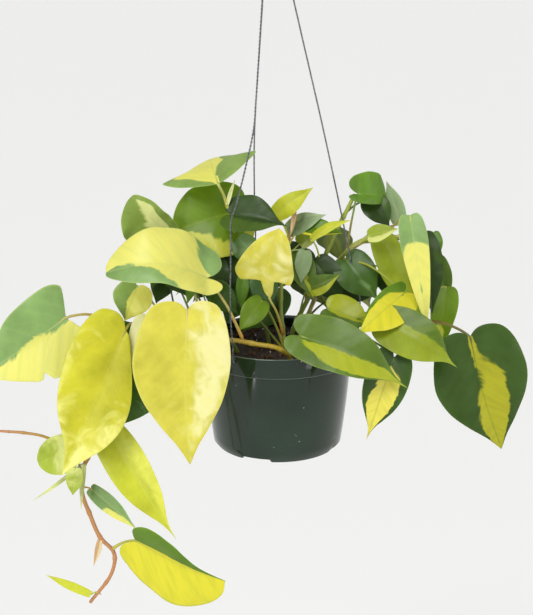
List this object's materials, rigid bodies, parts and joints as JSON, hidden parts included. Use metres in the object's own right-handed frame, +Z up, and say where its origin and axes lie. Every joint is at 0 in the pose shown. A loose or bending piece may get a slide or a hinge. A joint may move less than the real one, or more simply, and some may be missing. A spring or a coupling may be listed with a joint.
{
  "type": "hanging potted philodendron",
  "caption": "A trailing variegated philodendron in a round plastic pot with three hanger wires that meet in a hook.",
  "frame": {"origin": "the inside top of the hook, where the hanger rests on its rail or pin", "axes": "+Z up, +Y from the front to the back, +X to the right seen from the front"},
  "size_m": [0.5137, 0.1946, 0.7347],
  "materials": {
    "pot_plastic": "gloss",
    "potting_mix": "matte",
    "galvanised_wire": "satin",
    "vine_bark": "satin",
    "green_stem": "satin",
    "leaf_blade": "satin"
  },
  "bodies": {
    "root": {"pot": "pot_plastic", "soil": "potting_mix", "hanger_hook": "galvanised_wire", "neck_wrap": "galvanised_wire", "hanger_wire_front_left": "galvanised_wire", "hanger_wire_right": "galvanised_wire", "hanger_wire_rear": "galvanised_wire", "trailing_vine": "vine_bark", "left_runner": "vine_bark", "left_stem": "green_stem", "top_left_stem": "green_stem", "centre_stem": "green_stem", "top_right_stem": "green_stem", "right_stem": "green_stem", "right_low_stem": "green_stem", "leaf_far_left": "leaf_blade", "leaf_left_large": "leaf_blade", "leaf_left_dark": "leaf_blade", "leaf_left_cream": "leaf_blade", "leaf_left_small": "leaf_blade", "leaf_left_hanging": "leaf_blade", "leaf_long_lower": "leaf_blade", "leaf_narrow_lower": "leaf_blade", "leaf_bottom": "leaf_blade", "leaf_vine_end": "leaf_blade", "leaf_top_left": "leaf_blade", "leaf_upright_left": "leaf_blade", "leaf_left_broad": "leaf_blade", "leaf_behind_left": "leaf_blade", "leaf_dark_centre": "leaf_blade", "leaf_centre_pointed": "leaf_blade", "leaf_left_upper_small": "leaf_blade", "leaf_front_large": "leaf_blade", "leaf_centre_cream": "leaf_blade", "leaf_centre_left_small": "leaf_blade", "leaf_centre_blue_green": "leaf_blade", "leaf_centre_sage": "leaf_blade", "leaf_centre_olive": "leaf_blade", "leaf_centre_right_sage": "leaf_blade", "leaf_centre_top": "leaf_blade", "leaf_edge_on": "leaf_blade", "leaf_centre_folded": "leaf_blade", "leaf_right_inner": "leaf_blade", "leaf_right_heart": "leaf_blade", "leaf_right_dark": "leaf_blade", "leaf_right_sage": "leaf_blade", "leaf_right_lime": "leaf_blade", "leaf_right_olive": "leaf_blade", "leaf_right_long": "leaf_blade", "leaf_right_green": "leaf_blade", "leaf_right_tail": "leaf_blade", "leaf_right_outer": "leaf_blade", "leaf_right_small_lime": "leaf_blade", "leaf_right_yellow": "leaf_blade", "leaf_right_shaded": "leaf_blade", "leaf_front_long": "leaf_blade", "leaf_front_lime": "leaf_blade", "leaf_front_hanging": "leaf_blade", "leaf_right_large": "leaf_blade"}
  },
  "joints": []
}
